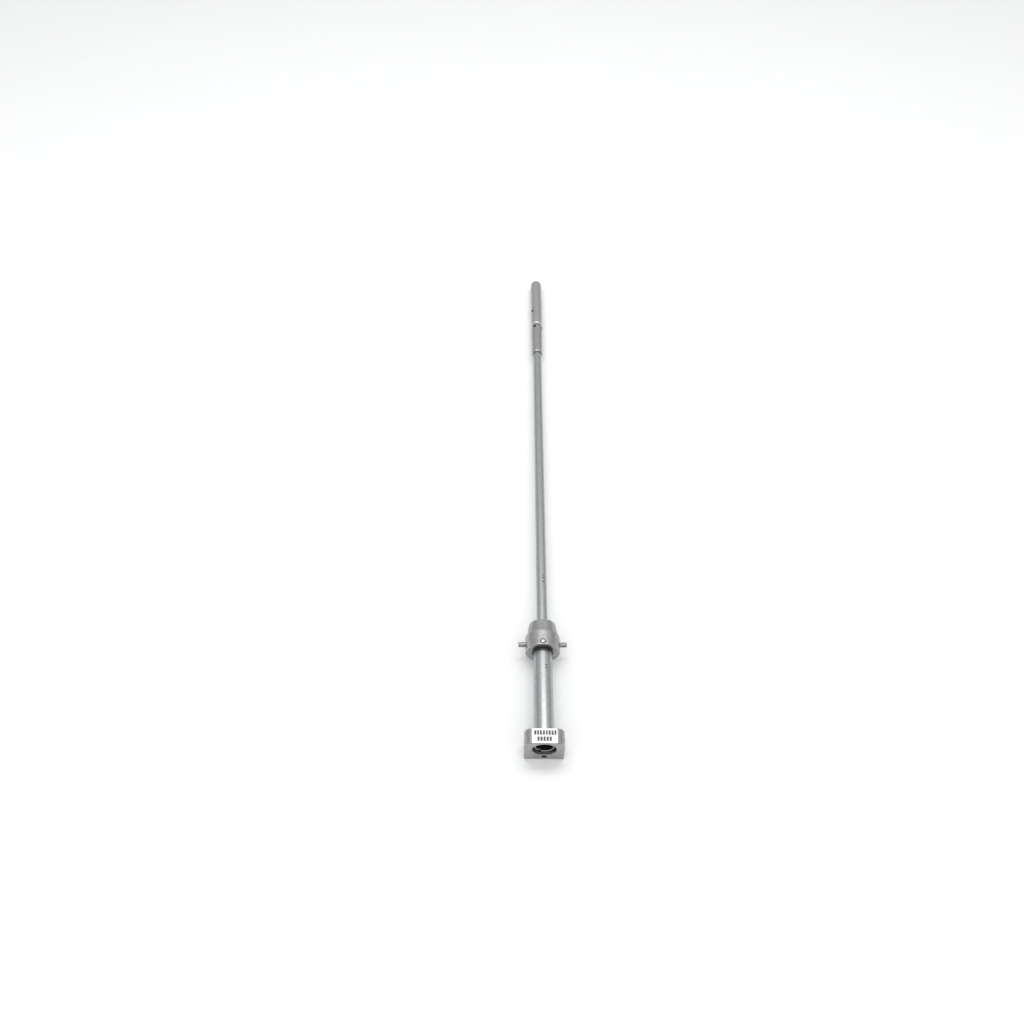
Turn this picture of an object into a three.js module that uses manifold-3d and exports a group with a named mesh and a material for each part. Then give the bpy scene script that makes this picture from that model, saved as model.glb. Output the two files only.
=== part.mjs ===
// Tubular shaft assembly: a D-shaped end block on a quill tube, a cone hub with
// two side pins and an index button that turns on the tube, a long thin tube,
// and a distal sleeve with a swivelling round-nosed tip.
//
// Millimetres, +Z up. The shaft axis runs along +Y at height AXIS_Z. The origin
// is the centre of the end block's flat base.

import * as THREE from "three";
import { mergeVertices } from "three/addons/utils/BufferGeometryUtils.js";
import Module from "manifold-3d";

const wasm = await Module();
wasm.setup();

// ---------------------------------------------------------------- dimensions
const SEG = 36; // facets round a shaft-size circle
const AXIS_Z = 7.9; // shaft axis above the block's base

// End block
const BLOCK_W = 14.9;
const BLOCK_H = 13.7;
const BLOCK_T = 5.8;
const BLOCK_SHOULDER_R = 3.6;
const BLOCK_TOP_FLAT = 0.085; // depth of the flat ground across the top
const BLOCK_FOOT_CHAMFER = 0.5;
const BLOCK_BORE_R = 4.5;
const BLOCK_LIP_T = 1.0; // rear wall left behind the bore
const PEG_HOLE_R = 1.05; // small locating hole under the bore
const PEG_HOLE_Z = 1.95;
const PEG_HOLE_DEPTH = 4.1;
const SCREW_R = 0.9; // grub screw in the block's right side
const SCREW_PROUD = 0.25;

// Quill tube (thick) and its fittings
const QUILL_R = 3.75;
const QUILL_BORE_R = 3.15;
const QUILL_Y0 = -1.85;
const QUILL_Y1 = 45.6;
const FERRULE_Y0 = 0.3;
const MOUTH_NOTCH_W = 1.5;
const MOUTH_NOTCH_D = 0.6;

// Thin tube
const ROD_R = 2.225;
const ROD_BORE_R = 2.025;
const ROD_Y0 = 36.2;
const ROD_Y1 = 243.0;

// Cone hub
const HUB_Y0 = 37.7;
const HUB_STEP_Y = 44.3;
const HUB_Y1 = 50.4;
const HUB_R = 6.95;
const HUB_STEP_R = 6.4;
const HUB_NOSE_R = 5.39;
const HUB_BORE_R = 4.3;
const HUB_BORE_Y1 = 46.35;
const POCKET_R = 4.2; // extra relief above the bore for the button's foot
const POCKET_RISE = 1.7;
const POCKET_Y1 = 40.6;
const NOSE_BORE_R = 2.68;
const BUSH_Y0 = 40.9;
const BUSH_Y1 = 44.8;
const RUN_CLEARANCE = 0.05;
const PIN_R = 1.0;
const PIN_Y = 41.35;
const PIN_REACH = 9.75;
const BUTTON_Y = 39.05;
const BUTTON_R = 0.95;
const BUTTON_GAP = 0.2; // round the button, in the hub's hole
const BUTTON_TOP = 7.45; // crown, from the shaft axis
const BUTTON_FOOT_R = 1.3;

// Distal sleeve and tip
const SLEEVE_Y0 = 229.4;
const SLEEVE_Y1 = 254.1;
const SLEEVE_R0 = 2.97;
const SLEEVE_R1 = 3.15;
const SPIGOT_R = 2.45;
const SPIGOT_Y0 = 244.4;
const GROOVE_R = 1.95;
const DOG_Y = 252.4; // the four dog-point screws that retain the tip
const DOG_R = 0.9;
const DOG_HOLE_R = 0.95;
const DOG_TOP = 2.6; // their heads, from the shaft axis
const DOG_ANGLES = [-24, 66, 156, 246]; // from the top, clockwise seen from the block
const TIP_Y0 = 255.4;
const TIP_Y1 = 300.6;
const TIP_R = 3.22;
const TIP_HOLE_Y = 268.8; // blind hole for a pin spanner, on the upper left
const TIP_HOLE_R = 1.0;
const TIP_HOLE_ANGLE = -54;

// ------------------------------------------------------------------- helpers
function solid(geometry, matrix) {
  const g = new THREE.BufferGeometry().setAttribute(
    "position",
    (geometry.index ? geometry.toNonIndexed() : geometry).getAttribute("position").clone(),
  );
  if (matrix) g.applyMatrix4(matrix);
  const m = mergeVertices(g, 1e-4);
  // drop the flat triangles a lathe leaves where its profile meets the axis
  const tris = [];
  for (let i = 0; i < m.index.count; i += 3) {
    const [a, b, c] = [0, 1, 2].map((k) => m.index.getX(i + k));
    if (a !== b && b !== c && c !== a) tris.push(a, b, c);
  }
  return new wasm.Manifold(
    new wasm.Mesh({
      numProp: 3,
      vertProperties: new Float32Array(m.attributes.position.array),
      triVerts: new Uint32Array(tris),
    }),
  );
}

function geometryOf(manifold) {
  const m = manifold.getMesh();
  const p = new Float32Array(m.numVert * 3);
  for (let i = 0; i < m.numVert; i++)
    p.set(m.vertProperties.subarray(i * m.numProp, i * m.numProp + 3), i * 3);
  const g = new THREE.BufferGeometry();
  g.setAttribute("position", new THREE.BufferAttribute(p, 3));
  g.setIndex(new THREE.BufferAttribute(new Uint32Array(m.triVerts), 1));
  return g;
}

const at = (x, y, z) => new THREE.Matrix4().makeTranslation(x, y, z);

// A body turned round the shaft axis, from a closed list of [radius, y].
function turned(profile, segments = SEG) {
  let area = 0;
  const n = profile.length;
  for (let i = 0; i < n; i++) {
    const [r0, y0] = profile[i];
    const [r1, y1] = profile[(i + 1) % n];
    area += r0 * y1 - r1 * y0;
  }
  const pts = (area > 0 ? profile : [...profile].reverse()).map(
    ([r, y]) => new THREE.Vector2(r, y),
  );
  const onAxis = pts.filter((p) => p.x === 0).length;
  if (onAxis === 0) {
    pts.push(pts[0].clone());
  } else {
    // start the open profile at the axis point that follows the other one
    const k = pts.findIndex((p, i) => p.x === 0 && pts[(i + pts.length - 1) % pts.length].x === 0);
    pts.push(...pts.splice(0, k));
  }
  const g = new THREE.LatheGeometry(pts, segments);
  return solid(g, at(0, 0, AXIS_Z));
}

// A ring between two radii.
const ring = (rIn, rOut, y0, y1, segments = SEG) =>
  turned(
    [
      [rIn, y0],
      [rOut, y0],
      [rOut, y1],
      [rIn, y1],
    ],
    segments,
  );

// A straight round bar along Y, through (x, z).
function barY(r, y0, y1, x = 0, z = AXIS_Z, segments = SEG) {
  const g = new THREE.CylinderGeometry(r, r, y1 - y0, segments);
  return solid(g, at(x, (y0 + y1) / 2, z));
}

// A round bar that points radially out of the shaft axis at a given angle from
// the top; lo and hi are distances from the axis.
function barRadial(r, lo, hi, y, degrees, segments = 16) {
  const pts = [
    [0, lo],
    [r, lo],
    [r, hi],
    [0, hi],
  ];
  const g = new THREE.LatheGeometry(
    pts.map(([a, b]) => new THREE.Vector2(a, b)),
    segments,
  );
  const m = new THREE.Matrix4()
    .makeTranslation(0, y, AXIS_Z)
    .multiply(new THREE.Matrix4().makeRotationY(THREE.MathUtils.degToRad(degrees)))
    .multiply(new THREE.Matrix4().makeRotationX(Math.PI / 2));
  return solid(g, m);
}

function box(x0, x1, y0, y1, z0, z1) {
  const g = new THREE.BoxGeometry(x1 - x0, y1 - y0, z1 - z0);
  return solid(g, at((x0 + x1) / 2, (y0 + y1) / 2, (z0 + z1) / 2));
}

const object = new THREE.Group();
object.name = "tubular_shaft_assembly";

const FINISH = {
  blasted: { color: 0x9a9ea1, roughness: 0.55, metalness: 0.9 },
  satin: { color: 0xa9adb0, roughness: 0.35, metalness: 0.95 },
  polished: { color: 0xc9cccf, roughness: 0.15, metalness: 1.0 },
  machined: { color: 0x8f9396, roughness: 0.4, metalness: 0.9 },
  bronze: { color: 0x9b7a45, roughness: 0.45, metalness: 0.8 },
  rubber: { color: 0x1c1c1d, roughness: 0.8, metalness: 0.0 },
  polymer: { color: 0xdad8cf, roughness: 0.6, metalness: 0.0 },
  spring: { color: 0xb0b3b6, roughness: 0.3, metalness: 1.0 },
  blackened: { color: 0x1d1d1e, roughness: 0.5, metalness: 0.6 },
};

function piece(name, manifold, finish, parent = object) {
  const mesh = new THREE.Mesh(
    geometryOf(manifold),
    new THREE.MeshStandardMaterial(FINISH[finish]),
  );
  mesh.name = name;
  parent.add(mesh);
  return mesh;
}

// ----------------------------------------------------------------- end block
{
  const w = BLOCK_W / 2;
  const cx = w - BLOCK_SHOULDER_R;
  const cz = BLOCK_H + BLOCK_TOP_FLAT - BLOCK_SHOULDER_R;
  const cut = Math.asin((BLOCK_H - cz) / BLOCK_SHOULDER_R);
  const s = new THREE.Shape();
  s.moveTo(-w + BLOCK_FOOT_CHAMFER, 0);
  s.lineTo(w - BLOCK_FOOT_CHAMFER, 0);
  s.lineTo(w, BLOCK_FOOT_CHAMFER);
  const STEPS = 10;
  for (let i = 0; i <= STEPS; i++) {
    const a = (cut * i) / STEPS;
    s.lineTo(cx + BLOCK_SHOULDER_R * Math.cos(a), cz + BLOCK_SHOULDER_R * Math.sin(a));
  }
  for (let i = STEPS; i >= 0; i--) {
    const a = (cut * i) / STEPS;
    s.lineTo(-cx - BLOCK_SHOULDER_R * Math.cos(a), cz + BLOCK_SHOULDER_R * Math.sin(a));
  }
  s.lineTo(-w, BLOCK_FOOT_CHAMFER);
  s.closePath();
  const g = new THREE.ExtrudeGeometry(s, { depth: BLOCK_T, bevelEnabled: false });
  // the extrusion runs along +Z; stand it up so that it runs along -Y
  const m = new THREE.Matrix4()
    .makeTranslation(0, BLOCK_T / 2, 0)
    .multiply(new THREE.Matrix4().makeRotationX(Math.PI / 2));
  let block = solid(g, m);
  const yb = BLOCK_T / 2;
  block = block
    .subtract(barY(BLOCK_BORE_R, -yb - 1, yb - BLOCK_LIP_T))
    .subtract(barY(QUILL_R + 0.03, -yb - 1, yb + 1))
    .subtract(barY(PEG_HOLE_R, -yb - 1, -yb + PEG_HOLE_DEPTH, 0, PEG_HOLE_Z, 20))
    // tapped hole for the grub screw, from the right side into the bore
    .subtract(barRadial(SCREW_R + 0.03, 4.0, 12, 1.05, 90, 16));
  piece("end_block", block, "blasted");
}

// Grub screw: bears on the ferrule, with a hexagon socket in its outer end.
{
  const hi = BLOCK_W / 2 + SCREW_PROUD;
  const hex = solid(
    new THREE.CylinderGeometry(0.45, 0.45, 1.2, 6),
    new THREE.Matrix4()
      .makeTranslation(hi, 1.05, AXIS_Z)
      .multiply(new THREE.Matrix4().makeRotationZ(Math.PI / 2)),
  );
  piece("block_grub_screw", barRadial(SCREW_R, 4.52, hi, 1.05, 90, 16).subtract(hex), "polished");
}

// Ferrule that fills the bore round the quill tube.
piece(
  "tube_ferrule",
  ring(QUILL_R + 0.02, BLOCK_BORE_R - 0.03, FERRULE_Y0, BLOCK_T / 2 - BLOCK_LIP_T - 0.02),
  "machined",
);

// ---------------------------------------------------------------- quill tube
{
  let tube = turned([
    [QUILL_BORE_R + 0.12, QUILL_Y0],
    [QUILL_R - 0.2, QUILL_Y0],
    [QUILL_R, QUILL_Y0 + 0.2],
    [QUILL_R, QUILL_Y1],
    [QUILL_BORE_R, QUILL_Y1],
    [QUILL_BORE_R, QUILL_Y0 + 0.12],
  ]);
  // notch in the mouth, low on the left
  const notch = solid(
    new THREE.BoxGeometry(MOUTH_NOTCH_W, 2 * MOUTH_NOTCH_D, 2.4),
    new THREE.Matrix4()
      .makeTranslation(0, QUILL_Y0, AXIS_Z)
      .multiply(new THREE.Matrix4().makeRotationY(THREE.MathUtils.degToRad(215)))
      .multiply(at(0, 0, QUILL_R)),
  );
  tube = tube.subtract(notch);
  // two punch marks near the hub
  for (const y of [29.2, 30.2]) {
    const a = THREE.MathUtils.radToDeg(Math.asin(1.1 / QUILL_R));
    tube = tube.subtract(barRadial(0.22, QUILL_R - 0.25, QUILL_R + 1, y, a, 8));
  }
  piece("quill_tube", tube, "satin");
}

// Seal and its clip inside the quill tube, in front of the reducer.
piece("channel_seal", ring(2.1, QUILL_BORE_R - 0.03, 34.1, 35.8, 28), "rubber");
{
  const gap = box(-0.9, 0.9, 33, 34.8, AXIS_Z - 4, AXIS_Z - 1);
  piece(
    "seal_clip",
    ring(2.62, QUILL_BORE_R - 0.03, 33.5, 34.0, 28).subtract(gap),
    "spring",
  );
}

// Reducer bush that centres the thin tube in the quill tube.
piece(
  "reducer_bush",
  turned([
    [ROD_R + 0.02, ROD_Y0 + 0.1],
    [QUILL_BORE_R - 0.03, ROD_Y0 + 0.1],
    [QUILL_BORE_R - 0.03, QUILL_Y1 + 0.02],
    [QUILL_R - 0.05, QUILL_Y1 + 0.02],
    [QUILL_R - 0.05, QUILL_Y1 + 0.55],
    [ROD_R + 0.02, QUILL_Y1 + 0.55],
  ]),
  "machined",
);

// Collar fixed on the quill tube: it keeps the hub from sliding off.
piece("thrust_collar", ring(QUILL_R + 0.02, HUB_BORE_R - 0.08, BUSH_Y1 + 0.08, QUILL_Y1 - 0.02), "bronze");

// ----------------------------------------------------------------- thin tube
{
  let tube = ring(ROD_BORE_R, ROD_R, ROD_Y0, ROD_Y1);
  for (const y of [71.2, 73.1, 74.7]) {
    const a = THREE.MathUtils.radToDeg(Math.asin(0.64 / ROD_R));
    tube = tube.subtract(barRadial(0.3, ROD_R - 0.12, ROD_R + 1, y, a, 8));
  }
  piece("thin_tube", tube, "satin");
}

// ----------------------------------------------------------------------- hub
{
  let hub = turned([
    [HUB_BORE_R, HUB_Y0],
    [HUB_R - 0.12, HUB_Y0],
    [HUB_R, HUB_Y0 + 0.12],
    [HUB_R, HUB_STEP_Y],
    [HUB_STEP_R, HUB_STEP_Y + 0.25],
    [HUB_NOSE_R + 0.12, HUB_Y1 - 0.35],
    [HUB_NOSE_R - 0.25, HUB_Y1],
    [NOSE_BORE_R, HUB_Y1],
    [NOSE_BORE_R, 48.9],
    [3.3, 48.9],
    [3.3, 47.7],
    [NOSE_BORE_R, 47.7],
    [NOSE_BORE_R, HUB_BORE_Y1],
    [HUB_BORE_R, HUB_BORE_Y1],
  ]);
  const pocket = barY(POCKET_R, HUB_Y0 - 1, POCKET_Y1, 0, AXIS_Z + POCKET_RISE);
  hub = hub
    .subtract(pocket)
    .subtract(barRadial(BUTTON_R + BUTTON_GAP, 3.5, 9, BUTTON_Y, 0, 24))
    .subtract(barRadial(PIN_R + 0.02, 3.6, 9, PIN_Y, 90, 20))
    .subtract(barRadial(PIN_R + 0.02, 3.6, 9, PIN_Y, -90, 20));
  piece("hub_body", hub, "blasted");
}

// Plain bush pressed into the hub, running on the quill tube.
piece("hub_bush", ring(QUILL_R + RUN_CLEARANCE, HUB_BORE_R - 0.03, BUSH_Y0, BUSH_Y1), "polymer");

// Side pins: straight, polished, chamfered at the outer end.
for (const [name, deg] of [
  ["side_pin_right", 90],
  ["side_pin_left", -90],
]) {
  const pts = [
    [0, HUB_BORE_R + 0.06],
    [PIN_R, HUB_BORE_R + 0.06],
    [PIN_R, PIN_REACH - 0.22],
    [PIN_R - 0.2, PIN_REACH],
    [0, PIN_REACH],
  ].map(([a, b]) => new THREE.Vector2(a, b));
  const m = new THREE.Matrix4()
    .makeTranslation(0, PIN_Y, AXIS_Z)
    .multiply(new THREE.Matrix4().makeRotationY(THREE.MathUtils.degToRad(deg)))
    .multiply(new THREE.Matrix4().makeRotationX(Math.PI / 2));
  piece(name, solid(new THREE.LatheGeometry(pts, 20), m), "polished");
}

// O-ring in the nose groove, and the gland ring that wipes the thin tube.
{
  const c = 2.79;
  const r = 0.47;
  const pts = [];
  for (let i = 0; i < 8; i++) {
    const a = (2 * Math.PI * (i + 0.5)) / 8;
    pts.push([c + r * Math.cos(a), 48.3 + r * Math.sin(a)]);
  }
  piece("hub_o_ring", turned(pts, 28), "rubber");
}
piece(
  "hub_gland_ring",
  turned([
    [ROD_R + RUN_CLEARANCE, 49.0],
    [NOSE_BORE_R - 0.02, 49.0],
    [NOSE_BORE_R - 0.02, HUB_Y1 + 0.25],
    [NOSE_BORE_R - 0.14, HUB_Y1 + 0.4],
    [ROD_R + RUN_CLEARANCE, HUB_Y1 + 0.4],
  ]),
  "polished",
);

// Leaf spring: an open band over the quill tube, under the button's foot.
{
  const band = new THREE.Shape();
  const N = 26;
  const rOut = 4.1;
  const rIn = 3.95;
  const a0 = THREE.MathUtils.degToRad(-20);
  const a1 = THREE.MathUtils.degToRad(200);
  for (let i = 0; i <= N; i++) {
    const a = a0 + ((a1 - a0) * i) / N;
    const p = [rOut * Math.cos(a), rOut * Math.sin(a)];
    if (i) band.lineTo(...p);
    else band.moveTo(...p);
  }
  for (let i = N; i >= 0; i--) {
    const a = a0 + ((a1 - a0) * i) / N;
    band.lineTo(rIn * Math.cos(a), rIn * Math.sin(a));
  }
  band.closePath();
  const g = new THREE.ExtrudeGeometry(band, { depth: 1.9, bevelEnabled: false });
  const m = new THREE.Matrix4()
    .makeTranslation(0, 39.9, AXIS_Z + 0.42)
    .multiply(new THREE.Matrix4().makeRotationX(Math.PI / 2));
  piece("button_spring", solid(g, m), "spring");
}

// Index button: crowned head in the hub's hole, with a wider foot inside. The
// foot's near side is ground flush with the hub's near face.
{
  const pts = [
    [0, 4.55],
    [BUTTON_FOOT_R, 4.55],
    [BUTTON_FOOT_R, 5.0],
    [BUTTON_R, 5.0],
    [BUTTON_R, 6.95],
    [BUTTON_R * 0.9, 7.16],
    [BUTTON_R * 0.62, 7.32],
    [BUTTON_R * 0.3, BUTTON_TOP - 0.01],
    [0, BUTTON_TOP],
  ].map(([a, b]) => new THREE.Vector2(a, b));
  const m = new THREE.Matrix4()
    .makeTranslation(0, BUTTON_Y, AXIS_Z)
    .multiply(new THREE.Matrix4().makeRotationX(Math.PI / 2));
  const near = box(-2, 2, HUB_Y0 - 2, HUB_Y0 + 0.04, AXIS_Z, AXIS_Z + 9);
  piece("index_button", solid(new THREE.LatheGeometry(pts, 24), m).subtract(near), "polished");
}

// ------------------------------------------------------------- distal sleeve
{
  let sleeve = turned([
    [ROD_R + 0.18, SLEEVE_Y0],
    [SLEEVE_R0 - 0.32, SLEEVE_Y0],
    [SLEEVE_R0, SLEEVE_Y0 + 1.2],
    [SLEEVE_R1, SLEEVE_Y1 - 0.12],
    [SLEEVE_R1 - 0.1, SLEEVE_Y1],
    [SPIGOT_R + RUN_CLEARANCE, SLEEVE_Y1],
    [SPIGOT_R + RUN_CLEARANCE, ROD_Y1 + 0.4],
    [ROD_R + 0.02, ROD_Y1 + 0.4],
    [ROD_R + 0.02, SLEEVE_Y0 + 0.3],
    [ROD_R + 0.18, SLEEVE_Y0 + 0.3],
  ]);
  for (const a of DOG_ANGLES)
    sleeve = sleeve.subtract(barRadial(DOG_HOLE_R, 1.5, 5, DOG_Y, a, 16));
  piece("distal_sleeve", sleeve, "satin");
}

// Dog-point screws with a driver slot: they sit below the sleeve's surface and
// their points run in the spigot's groove.
DOG_ANGLES.forEach((a, i) => {
  const slot = solid(
    new THREE.BoxGeometry(0.3, 3, 0.5),
    new THREE.Matrix4()
      .makeTranslation(0, DOG_Y, AXIS_Z)
      .multiply(new THREE.Matrix4().makeRotationY(THREE.MathUtils.degToRad(a)))
      .multiply(at(0, 0, DOG_TOP))
      .multiply(new THREE.Matrix4().makeRotationZ(THREE.MathUtils.degToRad(35))),
  );
  piece(
    "tip_dog_screw_" + (i + 1),
    barRadial(DOG_R, GROOVE_R + 0.08, DOG_TOP, DOG_Y, a, 16).subtract(slot),
    "blackened",
  );
});

// Thrust washer between the sleeve's end and the tip's shoulder.
piece("tip_thrust_washer", ring(SPIGOT_R + RUN_CLEARANCE, 2.72, SLEEVE_Y1 + 0.06, TIP_Y0 - 0.06), "rubber");

// ----------------------------------------------------------------------- tip
{
  const nose = [];
  const NOSE = 6;
  const L = 3.3; // length of the rounded nose
  for (let i = 1; i < NOSE; i++) {
    const a = (Math.PI / 2) * (i / NOSE);
    nose.push([TIP_R * Math.cos(a), TIP_Y1 - L + L * Math.sin(a)]);
  }
  let tip = turned([
    [0, SPIGOT_Y0],
    [SPIGOT_R - 0.25, SPIGOT_Y0],
    [SPIGOT_R, SPIGOT_Y0 + 0.25],
    [SPIGOT_R, 246.2],
    [GROOVE_R, 246.2],
    [GROOVE_R, 247.3],
    [SPIGOT_R, 247.3],
    [SPIGOT_R, DOG_Y - 0.97],
    [GROOVE_R, DOG_Y - 0.97],
    [GROOVE_R, DOG_Y + 0.97],
    [SPIGOT_R, DOG_Y + 0.97],
    [SPIGOT_R, TIP_Y0],
    [TIP_R - 0.5, TIP_Y0],
    [TIP_R - 0.02, TIP_Y0 + 0.85],
    [TIP_R, TIP_Y0 + 1.3],
    [TIP_R, TIP_Y1 - L],
    ...nose,
    [0, TIP_Y1],
  ]);
  tip = tip.subtract(barRadial(TIP_HOLE_R, TIP_R - 1.3, TIP_R + 1, TIP_HOLE_Y, TIP_HOLE_ANGLE, 16));
  piece("swivel_tip", tip, "satin");
}

{
  const c = 2.2;
  const r = 0.24;
  const pts = [];
  for (let i = 0; i < 8; i++) {
    const a = (2 * Math.PI * (i + 0.5)) / 8;
    pts.push([c + r * Math.cos(a), 246.75 + 1.6 * r * Math.sin(a)]);
  }
  piece("tip_o_ring", turned(pts, 28), "rubber");
}

export default object;
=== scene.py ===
import math
import random

import bmesh
import bpy
from mathutils import Matrix, Vector


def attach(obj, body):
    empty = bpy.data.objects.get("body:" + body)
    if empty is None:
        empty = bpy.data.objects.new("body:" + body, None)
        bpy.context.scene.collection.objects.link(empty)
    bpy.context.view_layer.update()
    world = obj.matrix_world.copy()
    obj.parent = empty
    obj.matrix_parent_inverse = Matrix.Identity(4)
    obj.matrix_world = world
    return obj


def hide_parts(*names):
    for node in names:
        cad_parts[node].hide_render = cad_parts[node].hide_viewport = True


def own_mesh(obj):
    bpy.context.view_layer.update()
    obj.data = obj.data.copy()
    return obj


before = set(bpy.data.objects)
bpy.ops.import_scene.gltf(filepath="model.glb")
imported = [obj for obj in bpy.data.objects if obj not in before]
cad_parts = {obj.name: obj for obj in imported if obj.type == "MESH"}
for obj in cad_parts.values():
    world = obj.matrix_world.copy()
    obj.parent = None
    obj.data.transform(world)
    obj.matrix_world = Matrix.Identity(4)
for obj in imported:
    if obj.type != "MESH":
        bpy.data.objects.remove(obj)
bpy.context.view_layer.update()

MM = 0.001
AXIS_Z = 7.9
rad = math.radians


# ---------------------------------------------------------------- mesh helpers
def fillet(points, closed):
    """[(r, y, fillet)] to a plain list of (r, y, edge) where edge is 1 on rounded corners."""
    out = []
    n = len(points)
    for i, p in enumerate(points):
        r, y = p[0], p[1]
        f = p[2] if len(p) > 2 else 0.0
        if f <= 0 or (not closed and i in (0, n - 1)):
            out.append((r, y, 0.0))
            continue
        a, b = points[i - 1], points[(i + 1) % n]
        P = Vector((r, y))
        u = Vector((a[0] - r, a[1] - y))
        v = Vector((b[0] - r, b[1] - y))
        lu, lv = u.length, v.length
        u.normalize()
        v.normalize()
        ang = math.acos(max(-1.0, min(1.0, u.dot(v))))
        if ang > math.pi - 0.02:
            out.append((r, y, 0.0))
            continue
        t = min(f / math.tan(ang / 2), 0.48 * lu, 0.48 * lv)
        rr = t * math.tan(ang / 2)
        bis = (u + v).normalized()
        C = P + bis * (rr / math.sin(ang / 2))
        s = P + u * t - C
        e = P + v * t - C
        a0 = math.atan2(s.y, s.x)
        a1 = math.atan2(e.y, e.x)
        d = (a1 - a0 + math.pi) % (2 * math.pi) - math.pi
        steps = max(2, int(math.ceil(abs(d) / rad(22))))
        for k in range(steps + 1):
            w = a0 + d * k / steps
            out.append((C.x + rr * math.cos(w), C.y + rr * math.sin(w), 1.0))
    return out


def densify(pts, closed, longest):
    """Breaks long spans, with a tight loop beside each rounded corner."""
    out = []
    n = len(pts)
    last = n if closed else n - 1
    for i in range(last):
        a, b = pts[i], pts[(i + 1) % n]
        out.append(a)
        L = math.hypot(b[0] - a[0], b[1] - a[1])
        cuts = []
        if L > 0.9:
            if a[2] > 0:
                cuts.append(0.18 / L)
            if b[2] > 0:
                cuts.append(1 - 0.18 / L)
        k = int(L // longest)
        lo, hi = (0.18 / L if L > 0.9 and a[2] > 0 else 0), (1 - 0.18 / L if L > 0.9 and b[2] > 0 else 1)
        for j in range(1, k + 1):
            cuts.append(lo + (hi - lo) * j / (k + 1))
        for t in sorted(set(round(c, 6) for c in cuts)):
            if 0.001 < t < 0.999:
                out.append((a[0] + (b[0] - a[0]) * t, a[1] + (b[1] - a[1]) * t, 0.0))
    if not closed:
        out.append(pts[-1])
    return out


def mesh_object(name, verts, faces, wear=None):
    me = bpy.data.meshes.new(name)
    me.from_pydata([tuple(c * MM for c in v) for v in verts], [], faces)
    me.validate()
    bm = bmesh.new()
    bm.from_mesh(me)
    bmesh.ops.recalc_face_normals(bm, faces=bm.faces)
    bm.to_mesh(me)
    bm.free()
    if wear is not None:
        at = me.attributes.new("wear", "FLOAT", "POINT")
        at.data.foreach_set("value", wear)
    ob = bpy.data.objects.new(name, me)
    bpy.context.scene.collection.objects.link(ob)
    return ob


def lathe(name, profile, seg=128, longest=4.0, place=None, round_steps=True):
    """A turned solid about +Y through the shaft axis. A profile that touches r = 0 at both ends is open; any other closes on itself."""
    closed = not (profile[0][0] < 1e-6 and profile[-1][0] < 1e-6)
    pts = densify(fillet(profile, closed), closed, longest)
    verts, faces, wear = [], [], []
    rows = []
    for r, y, e in pts:
        if r < 1e-6:
            rows.append([len(verts)])
            verts.append(Vector((0, y, 0)))
            wear.append(e)
        else:
            row = []
            for k in range(seg):
                a = 2 * math.pi * k / seg
                row.append(len(verts))
                verts.append(Vector((r * math.sin(a), y, r * math.cos(a))))
                wear.append(e)
            rows.append(row)
    m = len(rows)
    for i in range(m if closed else m - 1):
        A, B = rows[i], rows[(i + 1) % m]
        for k in range(seg):
            k2 = (k + 1) % seg
            if len(A) == 1 and len(B) == 1:
                continue
            if len(A) == 1:
                faces.append((A[0], B[k], B[k2]))
            elif len(B) == 1:
                faces.append((A[k2], A[k], B[0]))
            else:
                faces.append((A[k], B[k], B[k2], A[k2]))
    M = place if place is not None else Matrix.Translation((0, 0, AXIS_Z))
    verts = [M @ v for v in verts]
    return mesh_object(name, verts, faces, wear)


def radial_place(y, degrees):
    """Carries a body turned about +Y so that it points out of the shaft axis at an angle from the top."""
    return (
        Matrix.Translation((0, y, AXIS_Z))
        @ Matrix.Rotation(rad(degrees), 4, "Y")
        @ Matrix.Rotation(rad(90), 4, "X")
    )


def prism(name, outline, y0, y1, bevel=0.0):
    """Outline in x, z, drawn along Y, with a bevelled rim at both ends."""
    n = len(outline)
    c = Vector((sum(p[0] for p in outline) / n, sum(p[1] for p in outline) / n))
    rows = []
    verts = []

    def add(y, inset):
        row = []
        for i, p in enumerate(outline):
            a, b = outline[i - 1], outline[(i + 1) % n]
            t = Vector((b[0] - a[0], b[1] - a[1])).normalized()
            nrm = Vector((t.y, -t.x))
            if nrm.dot(Vector(p) - c) < 0:
                nrm = -nrm
            row.append(len(verts))
            verts.append((p[0] - nrm.x * inset, y, p[1] - nrm.y * inset))
        rows.append(row)

    steps = [(0.0, 1.0), (0.29, 0.62), (0.62, 0.29), (1.0, 0.0)] if bevel else [(0.0, 0.0)]
    for dy, ins in steps:
        add(y0 + dy * bevel, ins * bevel)
    span = y1 - y0
    for k in range(1, 6):
        add(y0 + bevel + (span - 2 * bevel) * k / 6, 0)
    for dy, ins in reversed(steps):
        add(y1 - dy * bevel, ins * bevel)
    faces = []
    for A, B in zip(rows, rows[1:]):
        for k in range(n):
            k2 = (k + 1) % n
            faces.append((A[k], B[k], B[k2], A[k2]))
    faces.append(tuple(rows[0]))
    faces.append(tuple(reversed(rows[-1])))
    return mesh_object(name, verts, faces, [0.0] * len(verts))


def box_mesh(name, x0, x1, y0, y1, z0, z1, place=None):
    v = [(x, y, z) for x in (x0, x1) for y in (y0, y1) for z in (z0, z1)]
    if place is not None:
        v = [tuple(place @ Vector(p)) for p in v]
    f = [(0, 1, 3, 2), (4, 6, 7, 5), (0, 4, 5, 1), (2, 3, 7, 6), (0, 2, 6, 4), (1, 5, 7, 3)]
    return mesh_object(name, v, f, [0.0] * 8)


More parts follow.
